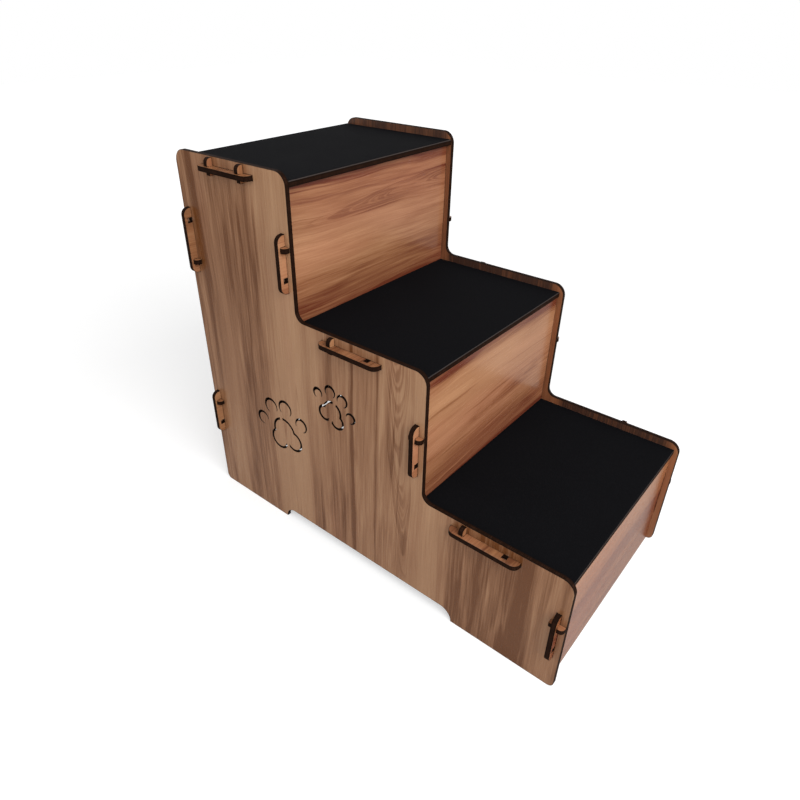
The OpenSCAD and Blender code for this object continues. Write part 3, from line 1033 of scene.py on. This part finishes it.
class STAIRS_OT_studio(bpy.types.Operator):
    """Set up the floor, the white background, the lamps and the camera"""

    bl_idname = "stairs.studio"
    bl_label = "Studio"
    bl_options = {"REGISTER", "UNDO"}

    def execute(self, context):
        studio = context.scene.stairs_studio
        self.lay_floor(studio)
        self.paint_sky(context.scene, studio)
        self.hang_lamp("key_lamp", studio.key_power, *KEY_LAMP)
        self.hang_lamp("fill_lamp", studio.fill_power, *FILL_LAMP)
        camera = bpy.data.cameras.new("camera")
        camera.lens = studio.lens
        camera.sensor_width = SENSOR_WIDTH
        camera.shift_x, camera.shift_y = studio.shift
        eye = add_object("camera", camera)
        eye.location = studio.camera_place
        eye.rotation_euler = studio.camera_turn
        context.scene.camera = eye
        context.scene.view_settings.view_transform = "Standard"
        return {"FINISHED"}

    def lay_floor(self, studio):
        half = studio.floor_size / 2
        mesh = bpy.data.meshes.new("floor")
        mesh.from_pydata([(-half, -half, 0), (half, -half, 0), (half, half, 0),
                          (-half, half, 0)], [], [(0, 1, 2, 3)])
        floor = add_object("floor", mesh)
        material, tree, shader = new_material("floor_paper", roughness=0.9, specular=0.1)
        place = add_node(tree, "ShaderNodeTexCoord").outputs["Object"]
        cloud = add_node(tree, "ShaderNodeTexNoise", {
            "Vector": place, "Scale": 60.0, "Detail": 2.0})
        paper = mix_colours(tree, cloud, PAPER_DARK, PAPER_LIGHT)
        seen = tree.nodes.new("ShaderNodeLightPath").outputs
        # White to the camera, yet it keeps the stairs' shadow, and is dimmer in their gloss
        glow = ease(tree, vector_node(tree, "LENGTH", place), GLOW_FROM, GLOW_TO,
                    GLOW_NEAR, GLOW_FAR)
        through = math_node(tree, "MAXIMUM", seen["Is Camera Ray"],
                            seen["Is Transmission Ray"])
        feed_all(tree, shader, {
            "Base Color": mix_colours(tree, seen["Is Glossy Ray"], paper, MIRRORED_PAPER),
            "Emission Color": WHITE,
            "Emission Strength": times_plus(
                tree, through, glow, times(tree, seen["Is Glossy Ray"], GLOW_MIRRORED))})
        mesh.materials.append(material)

    def paint_sky(self, scene, studio):
        """White to the camera, in a gloss and through glass, and dimmer as a light."""
        world = bpy.data.worlds.new("white_room")
        world.use_nodes = True
        tree = world.node_tree
        sky = tree.nodes["Background"]
        path = tree.nodes.new("ShaderNodeLightPath").outputs
        seen = math_node(tree, "MAXIMUM", path["Is Camera Ray"], path["Is Glossy Ray"])
        seen = math_node(tree, "MAXIMUM", seen, path["Is Transmission Ray"])
        feed_all(tree, sky, {
            "Color": WHITE, "Strength": ease(tree, seen, 0.0, 1.0, studio.sky, 1.0)})
        scene.world = world

    def hang_lamp(self, name, power, place, target, side):
        light = bpy.data.lights.new(name, "AREA")
        light.shape = "SQUARE"
        light.size = side
        light.energy = power
        lamp = add_object(name, light)
        lamp.location = place
        aim = Vector(target) - Vector(place)
        lamp.rotation_euler = aim.to_track_quat("-Z", "Y").to_euler()


OPERATORS = (STAIRS_OT_side_panels, STAIRS_OT_treads, STAIRS_OT_risers, STAIRS_OT_pegs,
             STAIRS_OT_mats, STAIRS_OT_studio)


class STAIRS_PT_sidebar(bpy.types.Panel):
    """Lists the pieces of the stairs and their finish"""

    bl_idname = "STAIRS_PT_sidebar"
    bl_label = "Pet Stairs"
    bl_space_type = "VIEW_3D"
    bl_region_type = "UI"
    bl_category = "Stairs"

    def draw(self, context):
        for settings in (context.scene.stairs_finish, context.scene.stairs_studio):
            box = self.layout.box()
            for name in settings.bl_rna.properties.keys():
                if name not in ("rna_type", "name"):
                    box.prop(settings, name)
        for operator in OPERATORS:
            self.layout.operator(operator.bl_idname)


CLASSES = (StairsFinish, StudioSettings, *OPERATORS, STAIRS_PT_sidebar)


def register():
    for cls in CLASSES:
        bpy.utils.register_class(cls)
    bpy.types.Scene.stairs_finish = bpy.props.PointerProperty(type=StairsFinish)
    bpy.types.Scene.stairs_studio = bpy.props.PointerProperty(type=StudioSettings)


def unregister():
    del bpy.types.Scene.stairs_finish
    del bpy.types.Scene.stairs_studio
    for cls in reversed(CLASSES):
        bpy.utils.unregister_class(cls)


def main():
    register()
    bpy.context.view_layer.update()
    for operator in OPERATORS:
        group, name = operator.bl_idname.split(".")
        getattr(getattr(bpy.ops, group), name)()


if __name__ == "__main__":
    main()
